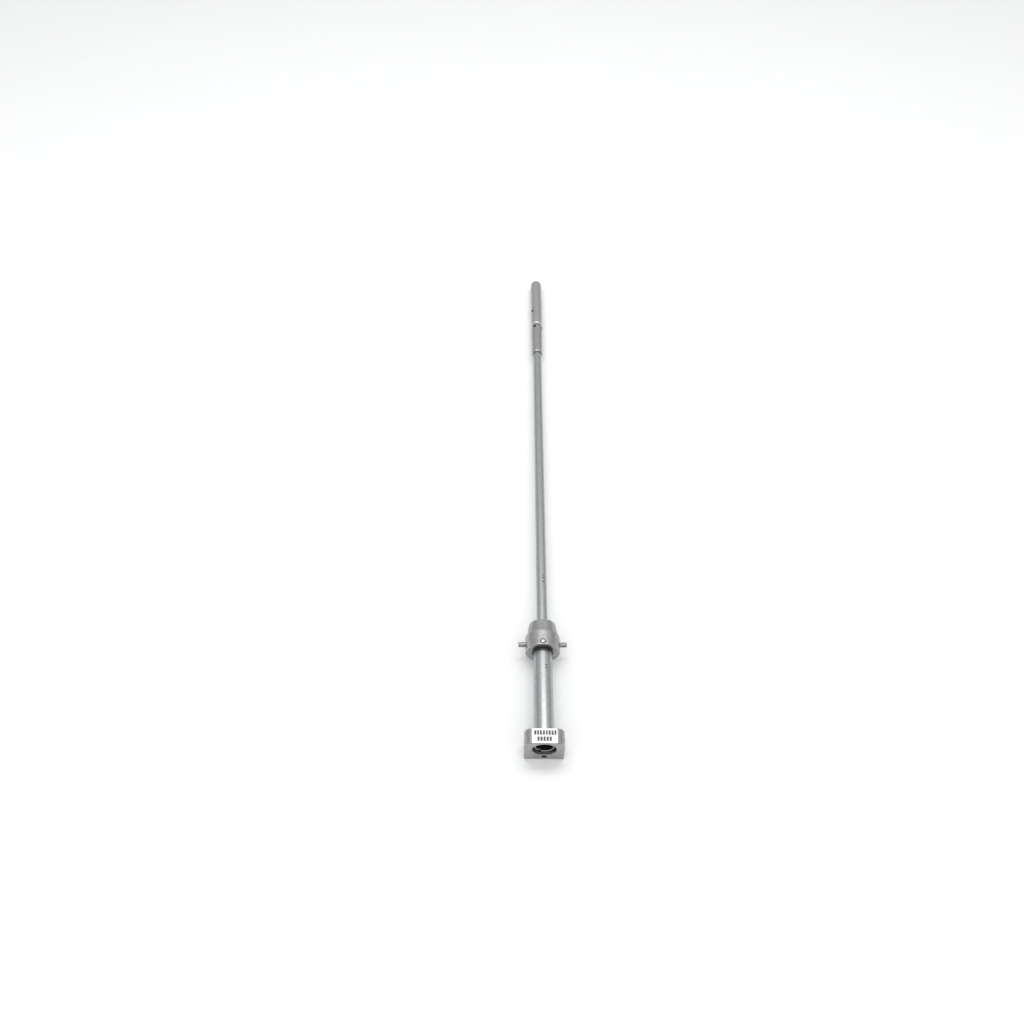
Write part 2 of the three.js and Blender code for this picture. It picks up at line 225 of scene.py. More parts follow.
def cut(ob, cutters):
    """Subtracts the cutters, one by one, and keeps the result in ob's mesh."""
    for c in cutters:
        md = ob.modifiers.new("cut", "BOOLEAN")
        md.operation = "DIFFERENCE"
        md.solver = "EXACT"
        md.object = c
    dg = bpy.context.evaluated_depsgraph_get()
    me = bpy.data.meshes.new_from_object(ob.evaluated_get(dg))
    ob.modifiers.clear()
    old = ob.data
    ob.data = me
    me.name = ob.name
    bpy.data.meshes.remove(old)
    for c in cutters:
        m = c.data
        bpy.data.objects.remove(c)
        bpy.data.meshes.remove(m)
    return ob


def finish_mesh(ob, angle=32):
    me = ob.data
    me.polygons.foreach_set("use_smooth", [True] * len(me.polygons))
    me.set_sharp_from_angle(angle=rad(angle))
    md = ob.modifiers.new("normals", "WEIGHTED_NORMAL")
    md.keep_sharp = True
    me.update()


def hole(r, lo, hi, y, deg, flare=0.08, seg=40, surface=None):
    """Cutter for a radial hole with a countersunk mouth at the surface radius."""
    s = surface if surface is not None else hi
    prof = [(0, lo), (r, lo), (r, s - flare), (r + flare * 1.6, s + flare * 0.6), (r + flare * 1.6, hi + 0.5), (0, hi + 0.5)]
    return lathe("cutter", prof, seg, 50, radial_place(y, deg))


def hole_y(r, y0, y1, x, z, flare=0.0, seg=48):
    """Cutter for a hole along Y that opens at y0, with a countersunk mouth."""
    prof = [(0, y0 - 1), (r + flare + (1.0 if flare else 0), y0 - 1), (r + flare, y0), (r, y0 + flare), (r, y1), (0, y1)]
    if not flare:
        prof = [(0, y0 - 1), (r, y0 - 1), (r, y1), (0, y1)]
    return lathe("cutter", prof, seg, 50, Matrix.Translation((x, 0, z)))


# ------------------------------------------------------------------- materials
class Mat:
    """Small helper around a node tree."""

    def __init__(self, name):
        self.m = bpy.data.materials.new(name)
        self.m.use_nodes = True
        self.t = self.m.node_tree
        self.t.nodes.clear()
        self.out = self.t.nodes.new("ShaderNodeOutputMaterial")
        self.b = self.t.nodes.new("ShaderNodeBsdfPrincipled")
        self.link(self.b.outputs[0], self.out.inputs["Surface"])
        tc = self.t.nodes.new("ShaderNodeTexCoord")
        mp = self.t.nodes.new("ShaderNodeMapping")
        mp.inputs["Scale"].default_value = (1000, 1000, 1000)  # textures in millimetres
        self.link(tc.outputs["Object"], mp.inputs["Vector"])
        self.mm = mp.outputs[0]

    def link(self, a, b):
        self.t.links.new(a, b)

    def node(self, kind, **inputs):
        n = self.t.nodes.new(kind)
        for k, v in inputs.items():
            n.inputs[k].default_value = v
        return n

    def scaled(self, sx, sy, sz, vec=None):
        mp = self.t.nodes.new("ShaderNodeMapping")
        mp.inputs["Scale"].default_value = (sx, sy, sz)
        self.link(vec or self.mm, mp.inputs["Vector"])
        return mp.outputs[0]

    def noise(self, scale, detail=3.0, rough=0.55, vec=None, distortion=0.0):
        n = self.node("ShaderNodeTexNoise")
        n.inputs["Scale"].default_value = scale
        n.inputs["Detail"].default_value = detail
        n.inputs["Roughness"].default_value = rough
        n.inputs["Distortion"].default_value = distortion
        self.link(vec or self.mm, n.inputs["Vector"])
        return n.outputs["Fac"]

    def voronoi(self, scale, vec=None, feature="F1", randomness=1.0):
        n = self.node("ShaderNodeTexVoronoi")
        n.feature = feature
        n.inputs["Scale"].default_value = scale
        n.inputs["Randomness"].default_value = randomness
        self.link(vec or self.mm, n.inputs["Vector"])
        return n.outputs["Distance"]

    def remap(self, value, a, b, c=0.0, d=1.0, smooth=True):
        n = self.node("ShaderNodeMapRange")
        n.interpolation_type = "SMOOTHSTEP" if smooth else "LINEAR"
        self.link(value, n.inputs["Value"])
        for k, v in zip(("From Min", "From Max", "To Min", "To Max"), (a, b, c, d)):
            n.inputs[k].default_value = v
        return n.outputs["Result"]

    def math(self, op, a, b=None, clamp=False):
        n = self.t.nodes.new("ShaderNodeMath")
        n.operation = op
        n.use_clamp = clamp
        for i, v in enumerate((a, b)):
            if v is None:
                continue
            if isinstance(v, (int, float)):
                n.inputs[i].default_value = v
            else:
                self.link(v, n.inputs[i])
        return n.outputs[0]

    def mix(self, fac, a, b):
        n = self.t.nodes.new("ShaderNodeMix")
        n.data_type = "RGBA"
        if isinstance(fac, (int, float)):
            n.inputs[0].default_value = fac
        else:
            self.link(fac, n.inputs[0])
        for i, v in ((6, a), (7, b)):
            if isinstance(v, tuple):
                n.inputs[i].default_value = (*v, 1)
            else:
                self.link(v, n.inputs[i])
        return n.outputs[2]

    def bump(self, height, distance, strength=1.0, normal=None):
        n = self.t.nodes.new("ShaderNodeBump")
        n.inputs["Strength"].default_value = strength
        n.inputs["Distance"].default_value = distance * MM
        self.link(height, n.inputs["Height"])
        if normal is not None:
            self.link(normal, n.inputs["Normal"])
        return n.outputs[0]

    def attribute(self, name):
        n = self.t.nodes.new("ShaderNodeAttribute")
        n.attribute_name = name
        return n.outputs["Fac"]

    def axis(self, i):
        n = self.t.nodes.new("ShaderNodeSeparateXYZ")
        self.link(self.mm, n.inputs[0])
        return n.outputs[i]


def metal(name, base, dark, bright, rough, rough_var, grain, grain_bump, aniso=0.0, lathe_lines=0.0,
          specks=0.0, speck_scale=0.9, scratches=0.5, mottle=0.5, edge=0.6, metallic=1.0):
    """Bare steel: grain, stains, fine scratches, pits and worn edges, all in millimetres."""
    M = Mat(name)
    b = M.b
    b.inputs["Metallic"].default_value = metallic
    b.inputs["IOR"].default_value = 2.5 if metallic == 1.0 else 1.4
    g1 = M.noise(grain, 4, 0.6)
    blotch = M.noise(0.55, 4, 0.6, distortion=0.4)
    fine = M.noise(1.9, 3, 0.6)
    col = M.mix(M.remap(blotch, 0.38, 0.66), base, dark)
    col = M.mix(M.math("MULTIPLY", M.remap(fine, 0.45, 0.8), mottle), col, dark)
    col = M.mix(M.math("MULTIPLY", M.remap(g1, 0.55, 0.85), 0.35), col, bright)
    # long fine scratches, mostly across the shaft's run and a few along it
    s1 = M.noise(1.0, 2, 0.7, vec=M.scaled(1.2, 22, 1.2))
    s2 = M.noise(1.0, 2, 0.7, vec=M.scaled(16, 0.35, 16))
    sc = M.math("MAXIMUM", M.remap(s1, 0.66, 0.74), M.math("MULTIPLY", M.remap(s2, 0.66, 0.76), 0.8))
    sc = M.math("MULTIPLY", sc, scratches)
    col = M.mix(M.math("MULTIPLY", sc, 0.45), col, bright)
    wear = M.attribute("wear")
    wear_n = M.math("MULTIPLY", M.math("MULTIPLY", wear, M.remap(fine, 0.3, 0.6)), edge, clamp=True)
    col = M.mix(wear_n, col, bright)
    heights = M.math("MULTIPLY", g1, grain_bump)
    if specks:
        v = M.voronoi(speck_scale)
        pit = M.math("MULTIPLY", M.remap(v, 0.05, 0.11, 1.0, 0.0), M.remap(M.noise(0.35, 2), 0.45, 0.6))
        v2 = M.voronoi(2.3)
        pit2 = M.math("MULTIPLY", M.remap(v2, 0.04, 0.1, 1.0, 0.0), M.remap(M.noise(0.8, 2), 0.5, 0.62))
        pit = M.math("MULTIPLY", M.math("MAXIMUM", pit, pit2), specks)
        col = M.mix(M.math("MULTIPLY", pit, 0.75), col, (0.07, 0.065, 0.06))
        heights = M.math("SUBTRACT", heights, M.math("MULTIPLY", pit, 0.02))
    M.link(col, b.inputs["Base Color"])
    r = M.math("ADD", M.remap(blotch, 0.3, 0.7, rough - rough_var, rough + rough_var, smooth=False),
               M.remap(g1, 0.3, 0.7, -rough_var * 0.6, rough_var * 0.6, smooth=False))
    r = M.math("SUBTRACT", r, M.math("MULTIPLY", wear_n, rough * 0.35))
    r = M.math("ADD", r, M.math("MULTIPLY", sc, 0.08), clamp=True)
    M.link(r, b.inputs["Roughness"])
    h = heights
    if lathe_lines:
        ln = M.noise(1.0, 1, 0.5, vec=M.scaled(0.15, 9, 0.15))
        h = M.math("ADD", h, M.math("MULTIPLY", ln, lathe_lines))
    h = M.math("SUBTRACT", h, M.math("MULTIPLY", sc, 0.0016))
    M.link(M.bump(h, 1.0, 1.0), b.inputs["Normal"])
    return M


def rubber(name):
    M = Mat(name)
    b = M.b
    g = M.noise(14, 4, 0.6)
    bl = M.noise(1.2, 3, 0.6)
    col = M.mix(M.remap(bl, 0.4, 0.7), (0.018, 0.018, 0.019), (0.045, 0.044, 0.042))
    col = M.mix(M.math("MULTIPLY", M.remap(g, 0.6, 0.9), 0.4), col, (0.09, 0.09, 0.088))
    M.link(col, b.inputs["Base Color"])
    M.link(M.remap(g, 0.3, 0.7, 0.55, 0.75, smooth=False), b.inputs["Roughness"])
    M.link(M.bump(g, 0.012), b.inputs["Normal"])
    return M


def polymer(name):
    M = Mat(name)
    b = M.b
    g = M.noise(10, 4, 0.6)
    ln = M.noise(1.0, 1, 0.5, vec=M.scaled(0.2, 12, 0.2))
    col = M.mix(M.remap(M.noise(1.1, 3), 0.35, 0.7), (0.62, 0.6, 0.54), (0.7, 0.69, 0.65))
    col = M.mix(M.math("MULTIPLY", M.attribute("wear"), 0.3), col, (0.8, 0.79, 0.76))
    M.link(col, b.inputs["Base Color"])
    M.link(M.remap(g, 0.3, 0.7, 0.38, 0.52, smooth=False), b.inputs["Roughness"])
    M.link(M.bump(M.math("ADD", M.math("MULTIPLY", g, 0.3), ln), 0.01), b.inputs["Normal"])
    return M


blasted = metal("blasted_steel", (0.415, 0.415, 0.42), (0.34, 0.34, 0.345), (0.60, 0.60, 0.61), 0.38, 0.05, 9.0, 0.008,
                specks=0.7, speck_scale=0.5, scratches=0.5, mottle=0.35, edge=0.7)
satin = metal("satin_steel", (0.425, 0.435, 0.44), (0.385, 0.395, 0.40), (0.55, 0.56, 0.57), 0.34, 0.03, 5.0, 0.0005,
              specks=0.9, speck_scale=0.42, scratches=0.5, mottle=0.25, lathe_lines=0.0008, edge=0.5)
tip_satin = metal("tip_satin_steel", (0.465, 0.464, 0.457), (0.42, 0.42, 0.415), (0.58, 0.58, 0.58), 0.36, 0.03, 5.0, 0.0005,
                  specks=0.4, scratches=0.5, mottle=0.3, lathe_lines=0.0008, edge=0.5)
sleeve_satin = metal("sleeve_satin_steel", (0.415, 0.415, 0.408), (0.37, 0.37, 0.365), (0.54, 0.54, 0.535), 0.34, 0.03, 5.0, 0.0005,
                     specks=0.6, speck_scale=0.42, scratches=0.5, mottle=0.25, lathe_lines=0.0008, edge=0.5)
# near-black steel for the quill's inner wall: painted shade inside the bore
bore_painted_shade = metal("bore_painted_shade_steel", (0.14, 0.14, 0.14), (0.07, 0.068, 0.065), (0.30, 0.30, 0.30), 0.42, 0.06, 8.0, 0.002,
                     specks=0.5, scratches=0.5, mottle=0.6, edge=0.4)
# a lighter copy of the tip's steel for its chamfer ring: painted highlight
chamfer_painted_highlight = metal("turned_chamfer_painted_highlight_steel", (0.62, 0.62, 0.62), (0.50, 0.50, 0.50), (0.74, 0.74, 0.74), 0.42, 0.03, 8.0, 0.001,
                       specks=0.1, scratches=0.3, mottle=0.2, edge=0.2)
polished = metal("polished_steel", (0.29, 0.29, 0.30), (0.18, 0.18, 0.19), (0.55, 0.55, 0.56), 0.10, 0.02, 6.0, 0.0006,
                 specks=0.25, scratches=0.6, mottle=0.25, edge=0.3)
# a lighter copy of the polished steel for the button's dome: painted highlight
bright = metal("button_painted_highlight_steel", (0.62, 0.62, 0.63), (0.48, 0.48, 0.49), (0.75, 0.75, 0.76), 0.22, 0.03, 6.0, 0.0006,
               specks=0.2, scratches=0.5, mottle=0.25, edge=0.3)
machined = metal("machined_steel", (0.48, 0.485, 0.49), (0.34, 0.34, 0.34), (0.66, 0.67, 0.68), 0.34, 0.06, 8.0, 0.003,
                 specks=0.4, scratches=0.5, mottle=0.5, lathe_lines=0.006, edge=0.6)
spring = metal("spring_steel", (0.58, 0.59, 0.60), (0.42, 0.41, 0.39), (0.75, 0.76, 0.77), 0.24, 0.05, 8.0, 0.002,
               specks=0.3, scratches=0.8, mottle=0.4, edge=0.5)
# near black: the dark fill of the engraved marks, and painted shade in the button's hole, the dog holes and their
# screws, and the tip's spanner hole
dark_marks_and_painted_shade = metal("blackened_steel", (0.030, 0.030, 0.032), (0.014, 0.014, 0.015), (0.16, 0.155, 0.15), 0.48, 0.06, 9.0, 0.003,
                  specks=0.2, scratches=0.5, mottle=0.6, edge=0.6, metallic=0.1)
bronze = metal("bearing_bronze", (0.50, 0.36, 0.18), (0.30, 0.2, 0.1), (0.72, 0.56, 0.32), 0.36, 0.07, 7.0, 0.004,
               specks=0.4, scratches=0.6, mottle=0.7, lathe_lines=0.008, edge=0.6)
seal = rubber("seal_rubber")
bush_polymer = polymer("bearing_polymer")


def ground_flat_painted_highlight(name):
    """The block's ground top, lighter than the blasted steel as a painted highlight, with two rows of plain dark dashes
    that stand for a marking.
    """
    M = Mat(name)
    b = M.b
    b.inputs["Metallic"].default_value = 0.35
    x, y = M.axis(0), M.axis(1)
    g = M.noise(6.0, 3, 0.6)
    lines = M.noise(1.0, 2, 0.6, vec=M.scaled(14, 0.5, 14))
    # the flat's light base colour is a painted highlight; the fine lengthwise lines are grinding marks
    col = M.mix(M.remap(lines, 0.35, 0.7), (0.67, 0.67, 0.68), (0.78, 0.78, 0.78))
    col = M.mix(M.math("MULTIPLY", M.remap(g, 0.5, 0.8), 0.5), col, (0.62, 0.62, 0.63))
    wob = M.noise(3.1, 1, 0.5)

    def row(x0, x1, y0, y1, period, duty):
        u = M.math("DIVIDE", M.math("SUBTRACT", x, x0), period)
        f = M.math("FRACT", u)
        bar = M.remap(f, duty, duty + 0.12, 1.0, 0.0)
        bar = M.math("MULTIPLY", bar, M.remap(f, 0.0, 0.08))
        inside = M.math("MULTIPLY", M.math("GREATER_THAN", x, x0), M.math("LESS_THAN", x, x1))
        inside = M.math("MULTIPLY", inside, M.remap(y, y0, y0 + 0.1))
        inside = M.math("MULTIPLY", inside, M.remap(y, y1 - 0.1, y1, 1.0, 0.0))
        return M.math("MULTIPLY", bar, inside)

    marks = M.math("MAXIMUM", row(-3.9, 4.5, 0.3, 2.1, 1.05, 0.70), row(-2.75, 2.75, -2.05, -0.28, 1.1, 0.70))
    marks = M.math("MULTIPLY", marks, M.remap(wob, 0.25, 0.6, 0.72, 1.0))
    col = M.mix(marks, col, (0.045, 0.045, 0.05))
    M.link(col, b.inputs["Base Color"])
    M.link(M.math("ADD", M.remap(g, 0.3, 0.7, 0.30, 0.38, smooth=False), M.math("MULTIPLY", marks, 0.2)), b.inputs["Roughness"])
    M.link(M.bump(M.math("SUBTRACT", M.math("MULTIPLY", lines, 0.0012), M.math("MULTIPLY", marks, 0.02)), 1.0), b.inputs["Normal"])
    return M


flat_marking_and_painted_highlight = ground_flat_painted_highlight("ground_flat_painted_highlight_steel")


def put(ob, mat, body, slot, *nodes, angle=32, second=()):
    """Finishes a piece. second lists (material, test(face centre in mm, normal)) for a few of its faces."""
    ob.data.materials.clear()
    ob.data.materials.append(mat.m)
    me = ob.data
    marked = []
    for i, (extra, test) in enumerate(second):
        me.materials.append(extra.m)
        for p in me.polygons:
            if p.material_index == 0 and test(p.center * 1000, p.normal):
                p.material_index = i + 1
                marked.append(p.index)
    finish_mesh(ob, angle)
    if marked:
        rim = {}
        for i in marked:
            for k in me.polygons[i].edge_keys:
                rim[k] = rim.get(k, 0) + 1
        sharp = me.attributes.get("sharp_edge") or me.attributes.new("sharp_edge", "BOOLEAN", "EDGE")
        for e in me.edges:
            if rim.get(tuple(sorted(e.vertices)), 0) == 1:
                sharp.data[e.index].value = True
    if nodes:
        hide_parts(*nodes)
    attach(ob, body)
    return ob


# ------------------------------------------------------------------- end block
B = 2.9          # half the block's thickness
BLOCK_TOP = 13.7
BORE = 4.5


def block_outline():
    w, H, R, flat = 7.45, BLOCK_TOP, 3.6, 0.085
    cx, cz = w - R, H + flat - R
    a_cut = math.asin((H - cz) / R)
    pts = []

    def corner(px, pz, r, a0, a1, n):
        for i in range(n + 1):
            a = rad(a0 + (a1 - a0) * i / n)
            pts.append((px + r * math.cos(a), pz + r * math.sin(a)))

    f = 0.42
    for k in range(1, 12):
        pts.append((-w + f + (2 * w - 2 * f) * k / 12, 0.0))
    corner(w - f, f, f, -90, 0, 5)
    for k in range(1, 6):
        pts.append((w, f + (cz - f) * k / 6))
    for i in range(15):
        a = a_cut * i / 14
        pts.append((cx + R * math.cos(a), cz + R * math.sin(a)))
    xt = cx + R * math.cos(a_cut)
    for k in range(1, 12):
        pts.append((xt - 2 * xt * k / 12, H))
    for i in range(14, -1, -1):
        a = a_cut * i / 14
        pts.append((-cx - R * math.cos(a), cz + R * math.sin(a)))
    for k in range(5, 0, -1):
        pts.append((-w, f + (cz - f) * k / 6))
    corner(-w + f, f, f, 180, 270, 5)
    return pts


block = prism("end_block_body", block_outline(), -B, B, bevel=0.1)
cut(block, [
    lathe("cutter", [(0, -4.5), (6.1, -4.5), (BORE + 0.13, -B), (BORE, -B + 0.13), (BORE, 1.9), (3.78, 1.9), (3.78, 2.76), (3.95, 2.9), (4.4, 3.4), (4.4, 4.5), (0, 4.5)], 128, 50),
    hole_y(1.05, -B, 1.2, 0, 1.95, flare=0.08),
    hole(0.93, 4.0, 10, 1.05, 90, flare=0.1, surface=7.45),
])
# the block's ground top takes the lighter material, a painted highlight, with its marking
put(block, blasted, "shaft", "blasted_steel", "end_block",
    second=[(flat_marking_and_painted_highlight, lambda c, n: n.z > 0.999 and c.z > BLOCK_TOP - 0.01)])

# the grub screw, with its hexagon socket
screw = lathe("block_screw_body", [(0, 4.52), (0.75, 4.52), (0.9, 4.68), (0.9, 7.65, 0.08), (0.0, 7.70)], 48, 2, radial_place(1.05, 90))
hexcut = lathe("cutter", [(0, 7.05), (0.45, 7.05), (0.45, 8.6), (0, 8.6)], 6, 50, radial_place(1.05, 90))
cut(screw, [hexcut])
put(screw, polished, "shaft", "polished_steel", "block_grub_screw")

put(lathe("tube_ferrule_body", [(3.77, 0.3, 0.05), (4.47, 0.3, 0.1), (4.47, 1.88, 0.05), (3.77, 1.88)], 96, 2), machined, "shaft", "machined_steel", "tube_ferrule")

# ------------------------------------------------------------------ quill tube
quill = lathe("quill_tube_body", [
    (3.15, -1.85, 0.14), (3.75, -1.85, 0.26), (3.75, 45.6, 0.05), (3.15, 45.6)], 160, 2.2)
notch = box_mesh("cutter", -0.75, 0.75, -0.6, 0.6, -1.2, 1.2,
                 Matrix.Translation((0, -1.85, AXIS_Z)) @ Matrix.Rotation(rad(215), 4, "Y") @ Matrix.Translation((0, 0, 3.75)))
marks = []
QUILL_MARKS, ROD_MARKS = (29.2, 30.2), (71.2, 73.1, 74.7)
for y in QUILL_MARKS:
    marks.append(lathe("cutter", [(0, 3.5), (0.24, 3.52), (0.33, 3.77), (0.33, 4.5), (0, 4.5)], 20, 50,
                       radial_place(y, math.degrees(math.asin(1.1 / 3.75)))))
cut(quill, [notch] + marks)


def in_mark(x, ys, r, reach):
    def test(c, n):
        rr = math.hypot(c.x, c.z - AXIS_Z)
        return c.z > AXIS_Z and rr < r - 0.02 and abs(c.x - x) < reach and any(abs(c.y - y) < reach for y in ys)
    return test


# the quill's inner wall is painted near black, painted shade inside the bore; the two dark dots are marks
put(quill, satin, "shaft", "satin_steel", "quill_tube",
    second=[(dark_marks_and_painted_shade, lambda c, n: in_mark(1.1, QUILL_MARKS, 3.75, 0.45)(c, n) and math.hypot(c.x, c.z - AXIS_Z) > 3.4),
            (bore_painted_shade, lambda c, n: c.y > -1.65 and math.hypot(c.x, c.z - AXIS_Z) < 3.25)])

put(lathe("channel_seal_body", [(2.1, 34.4, 0.2), (2.4, 34.1, 0.1), (3.12, 34.1, 0.1), (3.12, 35.8, 0.1), (2.4, 35.8, 0.1), (2.1, 35.5, 0.2)], 72, 1), seal, "shaft", "seal_rubber", "channel_seal")
clip = lathe("seal_clip_body", [(2.62, 33.5, 0.12), (3.12, 33.5, 0.12), (3.12, 34.0, 0.12), (2.62, 34.0, 0.12)], 96, 1)
cut(clip, [box_mesh("cutter", -0.9, 0.9, 33, 34.8, AXIS_Z - 4, AXIS_Z - 1)])
put(clip, spring, "shaft", "spring_steel", "seal_clip")
put(lathe("reducer_bush_body", [(2.245, 36.3, 0.1), (3.12, 36.3, 0.15), (3.12, 45.62), (3.70, 45.62), (3.70, 46.15, 0.12), (2.245, 46.15, 0.08)], 96, 2), machined, "shaft", "machined_steel", "reducer_bush")
put(lathe("thrust_collar_body", [(3.77, 44.88, 0.05), (4.22, 44.88, 0.12), (4.22, 45.58, 0.12), (3.77, 45.58, 0.05)], 96, 1), bronze, "shaft", "bearing_bronze", "thrust_collar")

# ------------------------------------------------------------------- thin tube
rod = lathe("thin_tube_body", [(2.025, 36.2, 0.04), (2.225, 36.2, 0.05), (2.225, 243.0, 0.05), (2.025, 243.0, 0.04)], 112, 2.2)
marks = []
for y in ROD_MARKS:
    marks.append(lathe("cutter", [(0, 2.09), (0.28, 2.1), (0.36, 2.25), (0.36, 3.2), (0, 3.2)], 20, 50,
                       radial_place(y, math.degrees(math.asin(0.64 / 2.225)))))
cut(rod, marks)
put(rod, satin, "shaft", "satin_steel", "thin_tube", second=[(dark_marks_and_painted_shade, lambda c, n: in_mark(0.64, ROD_MARKS, 2.225, 0.45)(c, n) and math.hypot(c.x, c.z - AXIS_Z) > 2.06)])

# ------------------------------------------------------------------------- hub
HUB_R = 6.95
hub = lathe("hub_shell", [
    (4.3, 37.7, 0.1), (HUB_R, 37.7, 0.14), (HUB_R, 44.3, 0.05), (6.4, 44.38, 0.03), (5.5, 50.05, 0.12), (5.05, 50.4, 0.1),
    (2.68, 50.4, 0.08), (2.68, 48.9), (3.3, 48.9), (3.3, 47.7), (2.68, 47.7), (2.68, 46.35), (4.3, 46.35)], 160, 0.9)
pocket = lathe("cutter", [(0, 37), (4.2, 37), (4.2, 40.6), (0, 40.6)], 128, 50, Matrix.Translation((0, 0, AXIS_Z + 1.7)))
cut(hub, [pocket])
PIN_Y, BUTTON_Y = 41.35, 39.05
cut(hub, [
    hole(1.15, 3.5, 9, BUTTON_Y, 0, flare=0.03, seg=64, surface=HUB_R),
    hole(1.02, 3.6, 9, PIN_Y, 90, flare=0.06, seg=48, surface=HUB_R),
    hole(1.02, 3.6, 9, PIN_Y, -90, flare=0.06, seg=48, surface=HUB_R),
])
# the walls of the button's hole are painted near black: painted shade in the gap round the button
put(hub, blasted, "hub", "blasted_steel", "hub_body",
    second=[(dark_marks_and_painted_shade, lambda c, n: c.z > AXIS_Z + 5.9 and math.hypot(c.x, c.y - BUTTON_Y) < 1.18 and abs(n.z) < 0.5)])

put(lathe("hub_bush_body", [(3.80, 40.9, 0.08), (4.27, 40.9, 0.12), (4.27, 44.8, 0.12), (3.80, 44.8, 0.08)], 96, 1), bush_polymer, "hub", "bearing_polymer", "hub_bush")
for side, deg in (("right", 90), ("left", -90)):
    put(lathe("side_pin_%s_body" % side, [(0, 4.36), (1.0, 4.36, 0.08), (1.0, 9.53, 0.1), (0.8, 9.75, 0.08), (0, 9.75)], 64, 0.8, radial_place(PIN_Y, deg)),
        polished, "hub", "polished_steel", "side_pin_" + side)
oring = [(2.79 + 0.47 * math.cos(a), 48.3 + 0.47 * math.sin(a)) for a in [2 * math.pi * i / 20 for i in range(20)]]
put(lathe("hub_o_ring_body", oring, 96, 5), seal, "hub", "seal_rubber", "hub_o_ring")
put(lathe("hub_gland_ring_body", [(2.275, 49.0, 0.05), (2.66, 49.0, 0.05), (2.66, 50.65, 0.1), (2.54, 50.8, 0.06), (2.275, 50.8, 0.05)], 96, 0.8), polished, "hub", "polished_steel", "hub_gland_ring")

# leaf spring: an open band
def band(name, r_in, r_out, y0, y1, a0, a1, dz):
    N = 96
    verts, faces = [], []
    prof = [(r_in, y0), (r_out, y0), (r_out, y1), (r_in, y1)]
    for i in range(N + 1):
        a = rad(a0 + (a1 - a0) * i / N)
        for r, y in prof:
            verts.append((r * math.cos(a), y, AXIS_Z + dz + r * math.sin(a)))
    for i in range(N):
        for k in range(4):
            k2 = (k + 1) % 4
            faces.append((4 * i + k, 4 * i + k2, 4 * i + 4 + k2, 4 * i + 4 + k))
    faces.append((0, 1, 2, 3))
    faces.append(tuple(4 * N + k for k in (3, 2, 1, 0)))
    return mesh_object(name, verts, faces, [0.0] * len(verts))


leaf = put(band("button_spring_body", 3.95, 4.1, 38.0, 39.9, -20, 200, 0.42), spring, "hub", "spring_steel", "button_spring")
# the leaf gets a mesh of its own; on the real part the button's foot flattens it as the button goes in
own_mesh(leaf)

button = lathe("index_button_body", [
    (0, 4.55), (1.3, 4.55, 0.06), (1.3, 5.0, 0.05), (0.95, 5.0), (0.95, 7.0), (0.86, 7.19, 0.1), (0.6, 7.36, 0.1), (0.3, 7.435, 0.1), (0, 7.45)], 64, 0.5, radial_place(BUTTON_Y, 0))
cut(button, [box_mesh("cutter", -2, 2, 36.5, 37.74, AXIS_Z, AXIS_Z + 9)])
# the button's dome takes the lighter copy of polished steel, a painted highlight; below the hub's skin it is painted
# near black, painted shade in its hole
put(button, bright, "button", "polished_steel", "index_button", second=[(dark_marks_and_painted_shade, lambda c, n: c.z < AXIS_Z + 6.3)])

# --------------------------------------------------------------- distal sleeve
DOG_Y, DOG_ANGLES = 252.4, (-24, 66, 156, 246)
sleeve = lathe("distal_sleeve_body", [
    (2.405, 229.4, 0.06), (2.65, 229.4, 0.06), (2.97, 230.6, 0.08), (3.15, 253.98, 0.05), (3.05, 254.1, 0.04), (2.5, 254.1, 0.05),
    (2.5, 243.4), (2.245, 243.4), (2.245, 229.7), (2.405, 229.7)], 128, 1.6)
cut(sleeve, [hole(0.95, 1.5, 5, DOG_Y, a, flare=0.05, seg=40, surface=3.13) for a in DOG_ANGLES])
# the walls of the four dog holes are painted near black: painted shade in the holes
put(sleeve, sleeve_satin, "shaft", "satin_steel", "distal_sleeve",
    second=[(dark_marks_and_painted_shade, lambda c, n: 251.4 < c.y < 253.4 and 2.52 < math.hypot(c.x, c.z - AXIS_Z) < 3.06 and abs(n.y) > 0.02)])
# the dog screws are near black: painted shade at the bottom of their holes
for i, a in enumerate(DOG_ANGLES):
    dog = lathe("tip_dog_screw_body_%d" % (i + 1), [(0, 2.03), (0.9, 2.03, 0.08), (0.9, 2.6, 0.1), (0, 2.6)], 40, 0.5, radial_place(DOG_Y, a))
    cut(dog, [box_mesh("cutter", -0.15, 0.15, -1.5, 1.5, -0.25, 0.25,
                       Matrix.Translation((0, DOG_Y, AXIS_Z)) @ Matrix.Rotation(rad(a), 4, "Y") @ Matrix.Translation((0, 0, 2.6)) @ Matrix.Rotation(rad(35), 4, "Z"))])
    put(dog, dark_marks_and_painted_shade, "shaft", "blackened_steel", "tip_dog_screw_%d" % (i + 1))
put(lathe("tip_thrust_washer_body", [(2.5, 254.16, 0.06), (2.72, 254.16, 0.06), (2.72, 255.34, 0.06), (2.5, 255.34, 0.06)], 96, 1), seal, "tip", "seal_rubber", "tip_thrust_washer")

